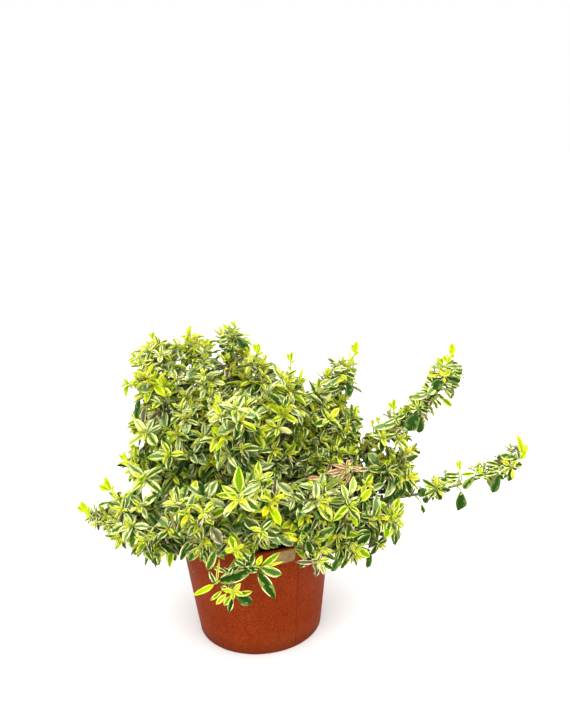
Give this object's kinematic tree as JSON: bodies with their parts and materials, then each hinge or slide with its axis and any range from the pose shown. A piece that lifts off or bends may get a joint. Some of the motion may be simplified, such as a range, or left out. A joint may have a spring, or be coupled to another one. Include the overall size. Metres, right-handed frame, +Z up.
{
  "type": "glossy abelia",
  "caption": "Potted evergreen shrub with cream-edged leaves, a dense spreading crown, long arching side shoots and a tapered plastic pot with a rim band.",
  "frame": {"origin": "middle of the pot's flat underside", "axes": "+Z up; +X towards the long arching side shoots; -Y towards the side whose shoots hang over the rim"},
  "size_m": [0.4662, 0.297, 0.3333],
  "materials": {
    "pot_plastic": "satin",
    "potting_soil": "matte",
    "label_paper": "matte",
    "bark": "matte",
    "leaves": "satin"
  },
  "bodies": {
    "root": {"bough_arm_high": "bark", "bough_arm_low": "bark", "bough_back_left": "bark", "bough_back_low": "bark", "bough_back_low_left": "bark", "bough_back_low_right": "bark", "bough_back_right": "bark", "bough_back_top": "bark", "bough_centre_right": "bark", "bough_centre_top": "bark", "bough_front_centre": "bark", "bough_front_left": "bark", "bough_front_low": "bark", "bough_front_right": "bark", "bough_left_back_top": "bark", "bough_left_front": "bark", "bough_left_high": "bark", "bough_left_low": "bark", "bough_left_mid": "bark", "bough_left_top": "bark", "bough_right_low": "bark", "bough_right_mid": "bark", "bough_right_side": "bark", "bough_right_top": "bark", "bough_right_upper": "bark", "bough_top": "bark", "foliage_arm_high": "leaves", "foliage_arm_low": "leaves", "foliage_back_left": "leaves", "foliage_back_low": "leaves", "foliage_back_low_left": "leaves", "foliage_back_low_right": "leaves", "foliage_back_right": "leaves", "foliage_back_top": "leaves", "foliage_centre_right": "leaves", "foliage_centre_top": "leaves", "foliage_crown_mid": "leaves", "foliage_front_centre": "leaves", "foliage_front_left": "leaves", "foliage_front_low": "leaves", "foliage_front_right": "leaves", "foliage_left_back_top": "leaves", "foliage_left_front": "leaves", "foliage_left_high": "leaves", "foliage_left_low": "leaves", "foliage_left_mid": "leaves", "foliage_left_top": "leaves", "foliage_right_low": "leaves", "foliage_right_mid": "leaves", "foliage_right_side": "leaves", "foliage_right_top": "leaves", "foliage_right_upper": "leaves", "foliage_rim_front": "leaves", "foliage_rim_left": "leaves", "foliage_rim_right": "leaves", "foliage_top": "leaves", "pot": "pot_plastic", "pot_label": "label_paper", "soil": "potting_soil", "stem_base": "bark"}
  },
  "joints": []
}
